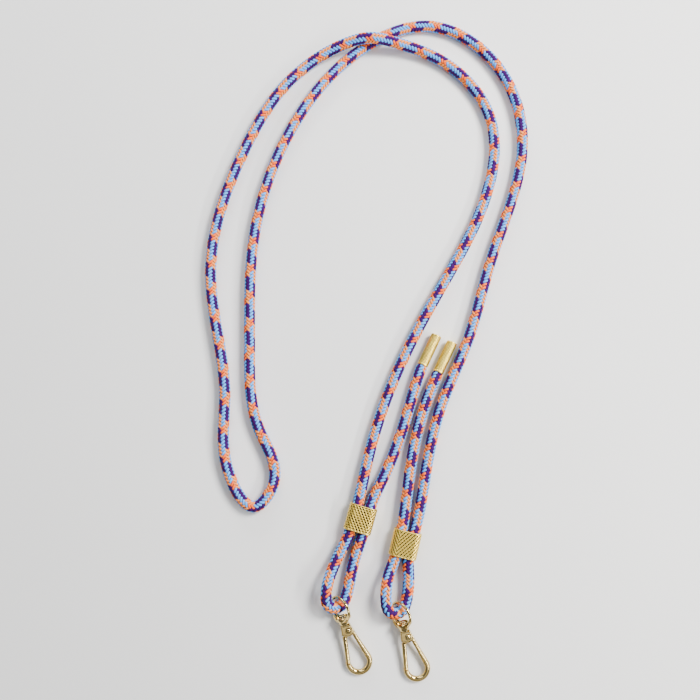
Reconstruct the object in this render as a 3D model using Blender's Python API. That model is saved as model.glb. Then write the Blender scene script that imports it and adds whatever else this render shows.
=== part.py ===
"""Phone crossbody strap, lying loose on a flat surface.

One round braided cord. Each end runs down through a slider, round the swivel eye
of a snap hook, back up through the slider and into an end cap.
Units are metres, +Z is up, the surface is z = 0. Lengths below are written in
millimetres times MM. +Y points from the hooks to the loop of the strap.
"""
import math

import bmesh
import bpy
import numpy as np
from mathutils import Matrix, Vector

MM = 0.001

# Gap between pieces that touch or slide on the real strap
CLEARANCE = 0.3 * MM
# Height that keeps the round pieces just off the surface
REST_GAP = 0.05 * MM

# Cord
CORD_DIAMETER = 7.0 * MM
CORD_END_DIAMETER = 5.1 * MM
CORD_SIDES_STEP = 3
CORD_MAX_RUN = 25.0 * MM
CORD_MAX_TURN = math.radians(24.0)
CORD_PITCH_IN_SLIDER = 7.7 * MM
# Length over which the cord widens again outside a cap's mouth
CORD_SHOULDER = 1.2 * MM

# End caps
CAP_LENGTH = 20.8 * MM
CAP_WALL = 0.45 * MM
CAP_END_WALL = 0.9 * MM
CAP_END_ROUND = 0.7 * MM

# Sliders
SLIDER_LENGTH = 15.8 * MM
SLIDER_FLAT_WALL = 1.0 * MM
SLIDER_SIDE_WALL = 0.75 * MM
SLIDER_CORNER_RADIUS = 4.0 * MM
SLIDER_END_BEVEL = 0.3 * MM

# Swivel eye: a wire ring with a bored collar at its foot
EYE_RADIUS = 7.3 * MM
EYE_WIRE_RADIUS = 0.85 * MM
EYE_ROLL = math.radians(48.0)
COLLAR_RADIUS = 3.3 * MM
COLLAR_LENGTH = 3.0 * MM
COLLAR_BEVEL = 0.5 * MM

# Stem of the hook, held in the collar by its wider head
STEM_RADIUS = 1.1 * MM
STEM_HEAD_RADIUS = 2.0 * MM
STEM_HEAD_LENGTH = 1.6 * MM

# Hook frame, measured along the swivel axis (x) and across it (y) from the eye's centre
HEAD_LEFT = 2.6 * MM
HEAD_WING = 0.9 * MM
HEAD_LENGTH = 3.5 * MM
HEAD_THICKNESS = 3.8 * MM
HEAD_EDGE_BEVEL = 0.4 * MM
BOSS_RADIUS = 3.45 * MM
BOSS_EDGE_ANGLE = math.radians(35.0)
RIVET_OFFSET = 1.0 * MM
SLOT_WIDTH = 1.7 * MM
SLOT_EDGE_ANGLE = math.radians(20.0)
BOW_RADIUS = 6.35 * MM
BOW_BAR_RADIUS = 1.65 * MM
BOW_DISTANCE = 19.9 * MM
BOW_OFFSET = 1.85 * MM
ARM_BAR_RADIUS = 1.2 * MM
ARM_LEAN = math.radians(16.0)
NOSE_LEAN = math.radians(8.3)

# Gate
GATE_BAR_RADIUS = 1.35 * MM
GATE_EYE_RADIUS = 1.9 * MM
GATE_START = 3.2 * MM
GATE_NECK_RADIUS = 1.0 * MM
GATE_JOINT_CUT = math.radians(48.0)
# How far the gate swings inward, and the room that its slot leaves past that
GATE_SWING = math.radians(24.0)
GATE_SWING_ROOM = math.radians(3.0)

# Rivet
RIVET_RADIUS = 1.0 * MM
RIVET_HEAD_RADIUS = 1.6 * MM
RIVET_HEAD_HEIGHT = 0.8 * MM
RIVET_RECESS_DEPTH = 0.4 * MM

# Where the pieces lie. Leans are degrees: a slider's or a cap's top leans toward +X,
# a hook's bow leans toward +X.
SLIDERS = {
    "left": {"x": -20.7 * MM, "y": -8.7 * MM, "lean": 16.2},
    "right": {"x": 6.0 * MM, "y": -23.5 * MM, "lean": 14.0},
}
CAPS = {
    "left": {"x": 17.6 * MM, "y": 83.7 * MM, "lean": 25.7},
    "right": {"x": 27.2 * MM, "y": 79.3 * MM, "lean": 25.7},
}
HOOKS = {
    "left": {"x": -32.9 * MM, "y": -60.9 * MM, "lean": 16.7},
    "right": {"x": 2.9 * MM, "y": -64.2 * MM, "lean": 13.7},
}

# The cord's half turn through each eye: its centre from the eye's centre, its radius,
# the lean of its axis and how far its left side rises over its right side, in degrees.
TURNS = {
    "left": {"x": -2.4 * MM, "y": 7.0 * MM, "z": 0.3 * MM, "radius": 6.5 * MM,
             "lean": -11.0, "tilt": 26.0},
    "right": {"x": -2.6 * MM, "y": 7.6 * MM, "z": 0.3 * MM, "radius": 6.8 * MM,
              "lean": -6.0, "tilt": 26.0},
}
TURN_STEPS = 4

# The cord's route between its fittings, points chosen by hand: x, y and z in millimetres.
# A z of 0 lies on the surface.
LEFT_TAIL = [(9.6, 59.3, 0.0), (-6.1, 16.7, 0.0)]
LEFT_LIMB_DOWN = [(-25.4, -37.0, 3.6)]
LEFT_LIMB_UP = [(-37.6, -38.5, 6.2)]
LONG_LOOP = [
    (-14.7, 31.7, 0.0), (3.0, 81.5, 0.0), (33.9, 139.3, 0.0), (59.0, 191.1, 0.0),
    (62.0, 244.5, 0.0), (31.0, 281.2, 4.0), (0.0, 291.3, 8.0), (-14.4, 292.3, 10.9),
    (-29.3, 290.3, 8.0), (-58.0, 274.8, 0.0), (-95.5, 218.0, 0.0), (-114.0, 140.0, 0.0),
    (-103.8, 65.4, 0.0), (-99.3, 15.0, 0.0), (-84.5, -1.8, 0.0), (-73.3, 12.0, 0.0),
    (-82.1, 43.8, 0.0), (-89.0, 93.0, 0.0), (-86.6, 168.5, 0.0), (-59.2, 244.1, 0.0),
    (-20.2, 288.2, 0.0), (25.2, 304.3, 0.0), (68.1, 277.0, 0.0), (82.8, 224.2, 0.0),
    (61.2, 149.1, 0.0), (45.8, 99.0, 0.0), (28.4, 57.5, 0.0), (19.2, 19.6, 0.0),
]
RIGHT_LIMB_DOWN = [(8.0, -43.5, 3.6)]
RIGHT_LIMB_UP = [(-4.6, -43.5, 6.2)]
RIGHT_TAIL = [(13.5, 41.0, 0.0)]

# Sizes that follow from the ones above
CORD_RADIUS = CORD_DIAMETER / 2
CORD_REST = CORD_RADIUS + REST_GAP
BORE_RADIUS = CORD_RADIUS + CLEARANCE
SLIDER_THICKNESS = 2 * (BORE_RADIUS + SLIDER_FLAT_WALL)
SLIDER_WIDTH = CORD_PITCH_IN_SLIDER + 2 * (BORE_RADIUS + SLIDER_SIDE_WALL)
CAP_BORE_RADIUS = CORD_END_DIAMETER / 2 + CLEARANCE
CAP_RADIUS = CAP_BORE_RADIUS + CAP_WALL
CORD_IN_CAP = CAP_LENGTH - CAP_END_WALL - CLEARANCE
EYE_HEIGHT = EYE_RADIUS * math.sin(EYE_ROLL) + EYE_WIRE_RADIUS + 2 * REST_GAP
COLLAR_START = EYE_RADIUS - EYE_WIRE_RADIUS - REST_GAP
COLLAR_END = COLLAR_START + COLLAR_LENGTH
SHOULDER = COLLAR_END + CLEARANCE
RIVET_PLACE = Vector((SHOULDER + HEAD_LENGTH, RIVET_OFFSET, 0.0))
BOW_CENTRE = Vector((RIVET_PLACE.x + BOW_DISTANCE, BOW_OFFSET, 0.0))
BOW_END = BOW_CENTRE.x + BOW_RADIUS
HOOK_PITCH = math.asin((EYE_HEIGHT - BOW_BAR_RADIUS - REST_GAP) / BOW_END)
TONGUE_THICKNESS = SLOT_WIDTH - 2 * CLEARANCE
RIVET_BORE_RADIUS = RIVET_RADIUS + CLEARANCE

GOLD = (0.79, 0.62, 0.33)
PALE_GOLD = (0.88, 0.76, 0.42)
CORD_COLOUR = (0.42, 0.24, 0.36)


def clear_scene():
    for obj in list(bpy.data.objects):
        bpy.data.objects.remove(obj, do_unlink=True)


def make_material(name, colour, roughness, metallic):
    material = bpy.data.materials.new(name)
    material.use_nodes = True
    shader = material.node_tree.nodes["Principled BSDF"]
    shader.inputs["Base Color"].default_value = (*colour, 1.0)
    shader.inputs["Roughness"].default_value = roughness
    shader.inputs["Metallic"].default_value = metallic
    return material


def place(name, mesh, material, parent=None, location=(0, 0, 0), rotation=(0, 0, 0)):
    """An object of its own for each piece, with the piece's material."""
    obj = bpy.data.objects.new(name, mesh)
    bpy.context.scene.collection.objects.link(obj)
    obj.parent = parent
    obj.location = location
    obj.rotation_euler = rotation
    mesh.materials.clear()
    mesh.materials.append(material)
    return obj


def finished_mesh(bm, name):
    bmesh.ops.recalc_face_normals(bm, faces=bm.faces)
    mesh = bpy.data.meshes.new(name)
    bm.to_mesh(mesh)
    bm.free()
    return mesh


def shade_round(mesh, angle=math.radians(35.0)):
    mesh.shade_smooth()
    mesh.set_sharp_from_angle(angle=angle)
    return mesh


def combined_mesh(name, base, steps):
    """Joins meshes to a base or cuts them out of it, one after another."""
    work = bpy.data.objects.new(name, base)
    bpy.context.scene.collection.objects.link(work)
    tools = []
    for mesh, operation in steps:
        tool = bpy.data.objects.new(name + "_tool", mesh)
        bpy.context.scene.collection.objects.link(tool)
        tools.append(tool)
        modifier = work.modifiers.new(operation.title(), "BOOLEAN")
        modifier.operation = operation
        modifier.object = tool
    depsgraph = bpy.context.evaluated_depsgraph_get()
    result = bpy.data.meshes.new_from_object(work.evaluated_get(depsgraph))
    result.name = name
    for obj in tools + [work]:
        bpy.data.objects.remove(obj, do_unlink=True)
    return shade_round(result)


def arc(centre, radius, start, end, steps):
    """Points on an arc in the XY plane, angles in radians."""
    angles = np.linspace(start, end, steps)
    return [(centre[0] + radius * math.cos(a), centre[1] + radius * math.sin(a)) for a in angles]


def prism_mesh(name, outline, bottom, top):
    """A closed outline in the XY plane, given a height along Z."""
    bm = bmesh.new()
    verts = [bm.verts.new((x, y, bottom)) for x, y in outline]
    base = bm.faces.new(verts)
    sides = bmesh.ops.extrude_face_region(bm, geom=[base])
    moved = [v for v in sides["geom"] if isinstance(v, bmesh.types.BMVert)]
    bmesh.ops.translate(bm, vec=(0, 0, top - bottom), verts=moved)
    return finished_mesh(bm, name)


def rims_bevelled(mesh, width):
    """Bevels the edges round the top and the bottom of a prism."""
    bm = bmesh.new()
    bm.from_mesh(mesh)
    rims = [e for e in bm.edges if abs(e.verts[0].co.z - e.verts[1].co.z) < width / 100]
    bmesh.ops.bevel(bm, geom=rims, offset=width, segments=1, affect="EDGES")
    return finished_mesh(bm, mesh.name)


def turned_mesh(name, profile, sides):
    """A solid turned about the X axis from (x, radius) rows, closed at both ends."""
    bm = bmesh.new()
    rings = []
    for x, radius in profile:
        ring = []
        for k in range(sides):
            angle = 2 * math.pi * k / sides
            ring.append(bm.verts.new((x, radius * math.cos(angle), radius * math.sin(angle))))
        rings.append(ring)
    for low, high in zip(rings, rings[1:]):
        for k in range(sides):
            bm.faces.new((low[k], low[(k + 1) % sides], high[(k + 1) % sides], high[k]))
    bm.faces.new(rings[0])
    bm.faces.new(rings[-1])
    return finished_mesh(bm, name)


def bar_mesh(name, stations, sides):
    """A round bar through (x, y, radius) rows in the XY plane, with closed ends."""
    bm = bmesh.new()
    centres = [Vector((x, y, 0.0)) for x, y, _ in stations]
    rings = []
    for k, (x, y, radius) in enumerate(stations):
        along = centres[min(k + 1, len(centres) - 1)] - centres[max(k - 1, 0)]
        across = Vector((-along.y, along.x, 0.0)).normalized()
        ring = []
        for s in range(sides):
            angle = 2 * math.pi * (s + 0.5) / sides
            ring.append(bm.verts.new(centres[k] + radius * (math.cos(angle) * across
                                                            + math.sin(angle) * Vector((0, 0, 1)))))
        rings.append(ring)
    for low, high in zip(rings, rings[1:]):
        for s in range(sides):
            bm.faces.new((low[s], low[(s + 1) % sides], high[(s + 1) % sides], high[s]))
    bm.faces.new(rings[0])
    bm.faces.new(rings[-1])
    return finished_mesh(bm, name)


def smooth_curve(points, per_span=24):
    """A natural cubic spline through the points, as rows of x, y, z and the span's number."""
    places = np.array(points, float)
    steps = np.linalg.norm(np.diff(places, axis=0), axis=1)
    count = len(places)
    matrix = np.eye(count)
    right = np.zeros((count, 3))
    slopes = np.diff(places, axis=0) / steps[:, None]
    for i in range(1, count - 1):
        matrix[i, i - 1:i + 2] = (steps[i - 1], 2 * (steps[i - 1] + steps[i]), steps[i])
        right[i] = 6 * (slopes[i] - slopes[i - 1])
    bend = np.linalg.solve(matrix, right)
    rows = []
    for i in range(count - 1):
        for b in np.arange(per_span) / per_span:
            a = 1 - b
            swing = (a ** 3 - a) * bend[i] + (b ** 3 - b) * bend[i + 1]
            rows.append((*(a * places[i] + b * places[i + 1] + steps[i] ** 2 / 6 * swing), i))
    rows.append((*places[-1], count - 1))
    return np.array(rows)


def lean_axes(lean):
    """Unit vectors up a leaning piece and across it to the right."""
    angle = math.radians(lean)
    return Vector((math.sin(angle), math.cos(angle), 0)), Vector((math.cos(angle), -math.sin(angle), 0))


def chosen(points):
    return [Vector((x * MM, y * MM, max(z * MM, CORD_REST))) for x, y, z in points]


def slider_pass(side, hole, downward):
    """The two ends of the cord's straight run through one hole of a slider."""
    up, across = lean_axes(SLIDERS[side]["lean"])
    centre = Vector((SLIDERS[side]["x"], SLIDERS[side]["y"], SLIDER_THICKNESS / 2))
    centre += across * (CORD_PITCH_IN_SLIDER / 2 * (1 if hole == "right" else -1))
    reach = up * (SLIDER_LENGTH / 2 + CLEARANCE)
    ends = [centre + reach, centre - reach]
    return ends if downward else ends[::-1]


def eye_turn(side):
    """Points of the half turn through the swivel eye, from the right limb to the left one."""
    turn = TURNS[side]
    down, right = -lean_axes(-turn["lean"])[0], lean_axes(-turn["lean"])[1]
    tilt = math.radians(turn["tilt"])
    outward = right * math.cos(tilt) - Vector((0, 0, 1)) * math.sin(tilt)
    centre = Vector((HOOKS[side]["x"] + turn["x"], HOOKS[side]["y"] + turn["y"], EYE_HEIGHT + turn["z"]))
    points = []
    for angle in np.linspace(0, math.pi, TURN_STEPS + 1):
        points.append(centre + turn["radius"] * (math.cos(angle) * outward + math.sin(angle) * down))
    return points


def cap_run(side):
    """The cord's end inside its cap and the point where it leaves the cap's mouth."""
    up = lean_axes(CAPS[side]["lean"])[0]
    mouth = Vector((CAPS[side]["x"], CAPS[side]["y"], CORD_REST))
    return [mouth + up * CORD_IN_CAP, mouth]


def cord_route():
    """Every point that the cord's smooth curve passes through, and those it is cut at."""
    sections = [
        (cap_run("left"), True),
        (chosen(LEFT_TAIL), False),
        (slider_pass("left", "right", True), True),
        (chosen(LEFT_LIMB_DOWN) + eye_turn("left") + chosen(LEFT_LIMB_UP), False),
        (slider_pass("left", "left", False), True),
        (chosen(LONG_LOOP), False),
        (slider_pass("right", "right", True), True),
        (chosen(RIGHT_LIMB_DOWN) + eye_turn("right") + chosen(RIGHT_LIMB_UP), False),
        (slider_pass("right", "left", False), True),
        (chosen(RIGHT_TAIL), False),
        (cap_run("right")[::-1], True),
    ]
    route = []
    fixed = set()
    for points, is_fixed in sections:
        if is_fixed:
            fixed.update(range(len(route), len(route) + len(points)))
        route.extend(points)
    return route, fixed


def cord_polyline():
    """Points for the tube: closer where the cord bends, and exact at its fittings."""
    route, fixed = cord_route()
    rows = smooth_curve(route)
    curve = rows[:, :3]
    curve[:, 2] = np.maximum(curve[:, 2], CORD_REST)
    spans = rows[:, 3].astype(int)
    starts = {int(np.argmax(spans == i)) for i in fixed}
    in_slider = {i for i in fixed if i + 1 in fixed}
    picked = [0]
    turned = 0.0
    last = len(curve) - 1
    for k in range(1, last):
        before = curve[k] - curve[k - 1]
        after = curve[k + 1] - curve[k]
        cosine = np.dot(before, after) / (np.linalg.norm(before) * np.linalg.norm(after))
        turned += math.acos(min(1.0, cosine))
        run = np.linalg.norm(curve[k] - curve[picked[-1]])
        straight = spans[k] in in_slider
        if k in starts or (not straight and (turned > CORD_MAX_TURN or run > CORD_MAX_RUN)):
            if k in starts and run < CORD_RADIUS and picked[-1] not in starts:
                picked.pop()
            picked.append(k)
            turned = 0.0
    picked.append(last)
    return [Vector(curve[k]) for k in picked]


def make_cord(material):
    """A round tube, narrowed at both ends where the caps grip it."""
    points = cord_polyline()
    neck = CORD_END_DIAMETER / CORD_DIAMETER
    stations = []
    for end, mouth in ((points[0], points[1]), (points[-1], points[-2])):
        outward = (mouth - end).normalized()
        stations.append([(end, neck), (mouth, neck), (mouth + outward * CORD_SHOULDER, 1.0)])
    rows = stations[0] + [(p, 1.0) for p in points[2:-2]] + stations[1][::-1]
    curve = bpy.data.curves.new("cord", "CURVE")
    curve.dimensions = "3D"
    curve.bevel_depth = CORD_RADIUS
    curve.bevel_resolution = CORD_SIDES_STEP
    curve.use_fill_caps = True
    spline = curve.splines.new("POLY")
    spline.points.add(len(rows) - 1)
    for point, (position, radius) in zip(spline.points, rows):
        point.co = (*position, 1.0)
        point.radius = radius
    curve.materials.append(material)
    obj = bpy.data.objects.new("cord", curve)
    bpy.context.scene.collection.objects.link(obj)
    return obj


def end_cap_mesh():
    """A cup along +X: the mouth at x = 0, the closed end rounded."""
    end = CAP_LENGTH
    outer = [(0.0, CAP_RADIUS), (end - CAP_END_ROUND, CAP_RADIUS)]
    outer += [(x, r) for x, r in arc((end - CAP_END_ROUND, CAP_RADIUS - CAP_END_ROUND),
                                     CAP_END_ROUND, math.pi / 2, 0.0, 4)[1:]]
    body = turned_mesh("end_cap", outer, 24)
    hollow = [(-CLEARANCE, CAP_BORE_RADIUS), (end - CAP_END_WALL, CAP_BORE_RADIUS)]
    bore = turned_mesh("bore", hollow, 24)
    return combined_mesh("end_cap", body, [(bore, "DIFFERENCE")])


def rounded_rectangle(width, height, radius, steps):
    points = []
    for k, (sx, sy) in enumerate(((1, 1), (-1, 1), (-1, -1), (1, -1))):
        centre = (sx * (width / 2 - radius), sy * (height / 2 - radius))
        points += arc(centre, radius, k * math.pi / 2, (k + 1) * math.pi / 2, steps)
    return points


def slider_mesh():
    """A rounded block bored for two cords side by side, its length along Z."""
    outline = rounded_rectangle(SLIDER_WIDTH, SLIDER_THICKNESS, SLIDER_CORNER_RADIUS, 6)
    body = prism_mesh("slider", outline, -SLIDER_LENGTH / 2, SLIDER_LENGTH / 2)
    body = rims_bevelled(body, SLIDER_END_BEVEL)
    half = CORD_PITCH_IN_SLIDER / 2
    slot = arc((half, 0), BORE_RADIUS, -math.pi / 2, math.pi / 2, 12)
    slot += arc((-half, 0), BORE_RADIUS, math.pi / 2, 3 * math.pi / 2, 12)
    bore = prism_mesh("bore", slot, -SLIDER_LENGTH, SLIDER_LENGTH)
    return combined_mesh("slider", body, [(bore, "DIFFERENCE")])


def swivel_eye_mesh():
    """The wire ring in the XY plane and its collar, bored along X for the stem."""
    bm = bmesh.new()
    section = bmesh.ops.create_circle(bm, radius=EYE_WIRE_RADIUS, segments=10)["verts"]
    bmesh.ops.rotate(bm, verts=section, cent=(0, 0, 0), matrix=Matrix.Rotation(math.pi / 2, 3, "X"))
    bmesh.ops.translate(bm, verts=section, vec=(EYE_RADIUS, 0, 0))
    bmesh.ops.spin(bm, geom=bm.verts[:] + bm.edges[:], cent=(0, 0, 0), axis=(0, 0, 1),
                   angle=2 * math.pi, steps=36, use_merge=True)
    ring = finished_mesh(bm, "ring")
    collar = turned_mesh("collar", [
        (COLLAR_START, COLLAR_RADIUS - COLLAR_BEVEL),
        (COLLAR_START + COLLAR_BEVEL, COLLAR_RADIUS),
        (COLLAR_END - COLLAR_BEVEL, COLLAR_RADIUS),
        (COLLAR_END, COLLAR_RADIUS - COLLAR_BEVEL),
    ], 24)
    bore = turned_mesh("bore", [(COLLAR_START - EYE_WIRE_RADIUS, STEM_RADIUS + CLEARANCE),
                                (COLLAR_END + EYE_WIRE_RADIUS, STEM_RADIUS + CLEARANCE)], 16)
    return combined_mesh("swivel_eye", ring, [(collar, "UNION"), (bore, "DIFFERENCE")])


def gate_line():
    """Start and end of the gate bar's centre line: from beside the head to the nose."""
    nose = Vector((-math.sin(NOSE_LEAN), -math.cos(NOSE_LEAN), 0.0))
    end = BOW_CENTRE + BOW_RADIUS * nose
    along = Vector((-math.cos(NOSE_LEAN), math.sin(NOSE_LEAN), 0.0))
    length = (end.x - RIVET_PLACE.x - GATE_START) / math.cos(NOSE_LEAN)
    return end + along * length, end


def arm_outer(x):
    """The y of the arm's outer edge at a distance x from the eye's centre."""
    foot = BOW_CENTRE + BOW_RADIUS * Vector((-math.sin(ARM_LEAN), math.cos(ARM_LEAN), 0))
    return foot.y - (foot.x - x) * math.tan(ARM_LEAN) + ARM_BAR_RADIUS / math.cos(ARM_LEAN)


def head_outline():
    """The head from above: a left wing beside the gate, a round boss and the arm's root."""
    wing_end = RIVET_PLACE.x + GATE_START - CLEARANCE - BOW_BAR_RADIUS / 2
    boss_end = RIVET_PLACE.x + BOSS_RADIUS
    outline = [(SHOULDER, -HEAD_LEFT), (wing_end, -HEAD_LEFT - HEAD_WING)]
    first = -math.acos((wing_end - RIVET_PLACE.x) / BOSS_RADIUS)
    outline += arc(RIVET_PLACE, BOSS_RADIUS, first, BOSS_EDGE_ANGLE, 9)
    tip = boss_end + ARM_BAR_RADIUS
    outline += [(tip, arm_outer(tip) - ARM_BAR_RADIUS), (boss_end, arm_outer(boss_end)),
                (SHOULDER, arm_outer(SHOULDER))]
    return outline


def frame_bar_mesh():
    """The round bar of the arm, the bow and the nose."""
    foot = BOW_CENTRE + BOW_RADIUS * Vector((-math.sin(ARM_LEAN), math.cos(ARM_LEAN), 0))
    drop = ARM_BAR_RADIUS / math.cos(ARM_LEAN)
    stations = []
    for x in (SHOULDER + ARM_BAR_RADIUS, (SHOULDER + foot.x) / 2):
        stations.append((x, arm_outer(x) - drop, ARM_BAR_RADIUS))
    bow = arc(BOW_CENTRE, BOW_RADIUS, math.pi / 2 + ARM_LEAN, -math.pi / 2 - NOSE_LEAN, 19)
    stations += [(x, y, BOW_BAR_RADIUS) for x, y in bow]
    start, end = gate_line()
    nose_tip = end + (start - end).normalized() * BOW_BAR_RADIUS * 2
    stations.append((nose_tip.x, nose_tip.y, BOW_BAR_RADIUS))
    return bar_mesh("bar", stations, 12)


def stem_mesh():
    head_top = COLLAR_START - CLEARANCE
    rows = [(1.0, 0.5), (0.7, 0.9), (0.35, 1.0), (0.0, 1.0)]
    profile = [(head_top - STEM_HEAD_LENGTH * x, STEM_HEAD_RADIUS * r) for x, r in rows]
    profile += [(head_top, STEM_RADIUS), (SHOULDER + STEM_RADIUS, STEM_RADIUS)]
    return turned_mesh("stem", profile, 16)


def gate_neck():
    """Where the gate's tongue meets its bar, from the rivet's centre."""
    start, end = gate_line()
    return start + (end - start).normalized() * GATE_NECK_RADIUS - RIVET_PLACE


def slot_outline():
    """The slot for the gate's tongue, as wide as the tongue sweeps when the gate swings inward."""
    radius = GATE_EYE_RADIUS + CLEARANCE
    neck = gate_neck()
    taper = math.asin((GATE_EYE_RADIUS - GATE_NECK_RADIUS) / neck.length)
    side = math.atan2(neck.y, neck.x) + GATE_SWING + GATE_SWING_ROOM - taper
    right = RIVET_PLACE.x + 2 * BOSS_RADIUS
    below = RIVET_PLACE.y - 4 * BOSS_RADIUS
    outline = arc(RIVET_PLACE, radius, math.pi + SLOT_EDGE_ANGLE, math.pi / 2 + side, 14)
    x, y = outline[-1]
    outline += [(right, y + (right - x) * math.tan(side)), (right, below), (outline[0][0], below)]
    return outline


def hook_frame_mesh():
    """Stem, slotted head, arm, bow and nose in one piece."""
    body = prism_mesh("head", head_outline(), -HEAD_THICKNESS / 2, HEAD_THICKNESS / 2)
    body = rims_bevelled(body, HEAD_EDGE_BEVEL)
    slot = prism_mesh("slot", slot_outline(), -SLOT_WIDTH / 2, SLOT_WIDTH / 2)
    hole = arc(RIVET_PLACE, RIVET_BORE_RADIUS, 0, 2 * math.pi, 17)[:-1]
    bore = prism_mesh("bore", hole, -HEAD_THICKNESS, HEAD_THICKNESS)
    recess = arc(RIVET_PLACE, RIVET_HEAD_RADIUS + CLEARANCE, 0, 2 * math.pi, 21)[:-1]
    floor = HEAD_THICKNESS / 2 - RIVET_RECESS_DEPTH
    upper = prism_mesh("recess", recess, floor, HEAD_THICKNESS)
    lower = prism_mesh("recess", recess, -HEAD_THICKNESS, -floor)
    lap = prism_mesh("lap", joint_outline(gate_line()[1], 1), -2 * BOW_BAR_RADIUS, 2 * BOW_BAR_RADIUS)
    steps = [(frame_bar_mesh(), "UNION"), (stem_mesh(), "UNION"), (slot, "DIFFERENCE"),
             (bore, "DIFFERENCE"), (upper, "DIFFERENCE"), (lower, "DIFFERENCE"), (lap, "DIFFERENCE")]
    return combined_mesh("hook_frame", body, steps)


def joint_outline(middle, side):
    """A block on one side of the slanted joint of nose and gate: 1 the gate's, -1 the nose's."""
    slant = Vector((math.cos(GATE_JOINT_CUT), math.sin(GATE_JOINT_CUT), 0))
    away = Vector((-slant.y, slant.x, 0)) * side
    near = middle - away * CLEARANCE / 2
    reach = BOW_BAR_RADIUS * 2.2
    corners = [near - slant * reach, near + slant * reach,
               near + slant * reach + away * reach * 1.6, near - slant * reach + away * reach * 1.6]
    return [(c.x, c.y) for c in corners]


def make_hook(side, mesh, materials):
    """One snap hook: its axis runs down from the eye's centre to the resting bow."""
    spot = HOOKS[side]
    heading = Matrix.Rotation(math.radians(spot["lean"]) - math.pi / 2, 4, "Z")
    turn = heading @ Matrix.Rotation(HOOK_PITCH, 4, "Y")
    axis = bpy.data.objects.new("hook_axis_" + side, None)
    bpy.context.scene.collection.objects.link(axis)
    axis.matrix_world = Matrix.Translation((spot["x"], spot["y"], EYE_HEIGHT)) @ turn
    place("swivel_eye_" + side, mesh["eye"], materials["swivel_eye"], axis, rotation=(EYE_ROLL, 0, 0))
    place("hook_frame_" + side, mesh["frame"], materials["hook_frame"], axis)
    place("hook_gate_" + side, mesh["gate"], materials["hook_gate"], axis, location=RIVET_PLACE)
    place("gate_rivet_" + side, mesh["rivet"], materials["gate_rivet"], axis, location=RIVET_PLACE)


def strap_outline(first, first_radius, second, second_radius, steps):
    """The outline round two circles and the straight sides between them."""
    apart = second - first
    heading = math.atan2(apart.y, apart.x)
    open_angle = math.acos((first_radius - second_radius) / apart.length)
    outline = arc(second, second_radius, heading - open_angle, heading + open_angle, steps)
    outline += arc(first, first_radius, heading + open_angle, heading + 2 * math.pi - open_angle, steps)
    return outline


def hook_gate_mesh():
    """The lever: a flat eyelet round the rivet and a bar that closes the opening.

    Its origin is the rivet's centre."""
    start, end = gate_line()
    start, end = start - RIVET_PLACE, end - RIVET_PLACE
    along = (end - start).normalized()
    over = end + along * GATE_BAR_RADIUS * 1.6
    bar = bar_mesh("bar", [(start.x, start.y, GATE_BAR_RADIUS), (over.x, over.y, GATE_BAR_RADIUS)], 12)
    outline = strap_outline(Vector((0, 0, 0)), GATE_EYE_RADIUS, gate_neck(), GATE_NECK_RADIUS, 10)
    plate = prism_mesh("tongue", outline, -TONGUE_THICKNESS / 2, TONGUE_THICKNESS / 2)
    hole = arc((0, 0), RIVET_BORE_RADIUS, 0, 2 * math.pi, 17)[:-1]
    bore = prism_mesh("bore", hole, -TONGUE_THICKNESS, TONGUE_THICKNESS)
    lap = prism_mesh("lap", joint_outline(end, -1), -2 * BOW_BAR_RADIUS, 2 * BOW_BAR_RADIUS)
    return combined_mesh("hook_gate", bar, [(plate, "UNION"), (bore, "DIFFERENCE"), (lap, "DIFFERENCE")])


def gate_rivet_mesh():
    """A pin with a domed head on each side, its length turned to Z."""
    inner = HEAD_THICKNESS / 2 - RIVET_RECESS_DEPTH + CLEARANCE
    dome = [(inner, RIVET_RADIUS), (inner, RIVET_HEAD_RADIUS),
            (inner + RIVET_HEAD_HEIGHT * 0.4, RIVET_HEAD_RADIUS * 0.92),
            (inner + RIVET_HEAD_HEIGHT * 0.8, RIVET_HEAD_RADIUS * 0.65),
            (inner + RIVET_HEAD_HEIGHT, RIVET_HEAD_RADIUS * 0.3)]
    profile = [(-x, r) for x, r in reversed(dome)] + dome
    mesh = turned_mesh("gate_rivet", profile, 16)
    mesh.transform(Matrix.Rotation(-math.pi / 2, 4, "Y"))
    return shade_round(mesh)


def main():
    clear_scene()
    materials = {
        "cord": make_material("cord", CORD_COLOUR, 0.85, 0.0),
        "end_cap": make_material("end_cap", PALE_GOLD, 0.3, 1.0),
        "slider": make_material("slider", PALE_GOLD, 0.35, 1.0),
        "swivel_eye": make_material("swivel_eye", GOLD, 0.2, 1.0),
        "hook_frame": make_material("hook_frame", GOLD, 0.2, 1.0),
        "hook_gate": make_material("hook_gate", GOLD, 0.22, 1.0),
        "gate_rivet": make_material("gate_rivet", GOLD, 0.2, 1.0),
    }
    make_cord(materials["cord"])

    cap = end_cap_mesh()
    for side, spot in CAPS.items():
        turn = (0, 0, math.pi / 2 - math.radians(spot["lean"]))
        place("end_cap_" + side, cap, materials["end_cap"], None,
              (spot["x"], spot["y"], CORD_REST), turn)

    slider = slider_mesh()
    lying = Matrix.Rotation(-math.pi / 2, 4, "X")
    for side, spot in SLIDERS.items():
        turn = (Matrix.Rotation(-math.radians(spot["lean"]), 4, "Z") @ lying).to_euler()
        place("slider_" + side, slider, materials["slider"], None,
              (spot["x"], spot["y"], SLIDER_THICKNESS / 2), turn)

    meshes = {"eye": swivel_eye_mesh(), "frame": hook_frame_mesh(),
              "gate": hook_gate_mesh(), "rivet": gate_rivet_mesh()}
    for side in HOOKS:
        make_hook(side, meshes, materials)


main()
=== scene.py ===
"""Looks of the phone crossbody strap: a braided cord in a loose loop, with two
knurled sliders, two knurled end caps and two swivel snap hooks.

Metal pieces are modelled in millimetres and put in their place at the end.
"""

import math

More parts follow.
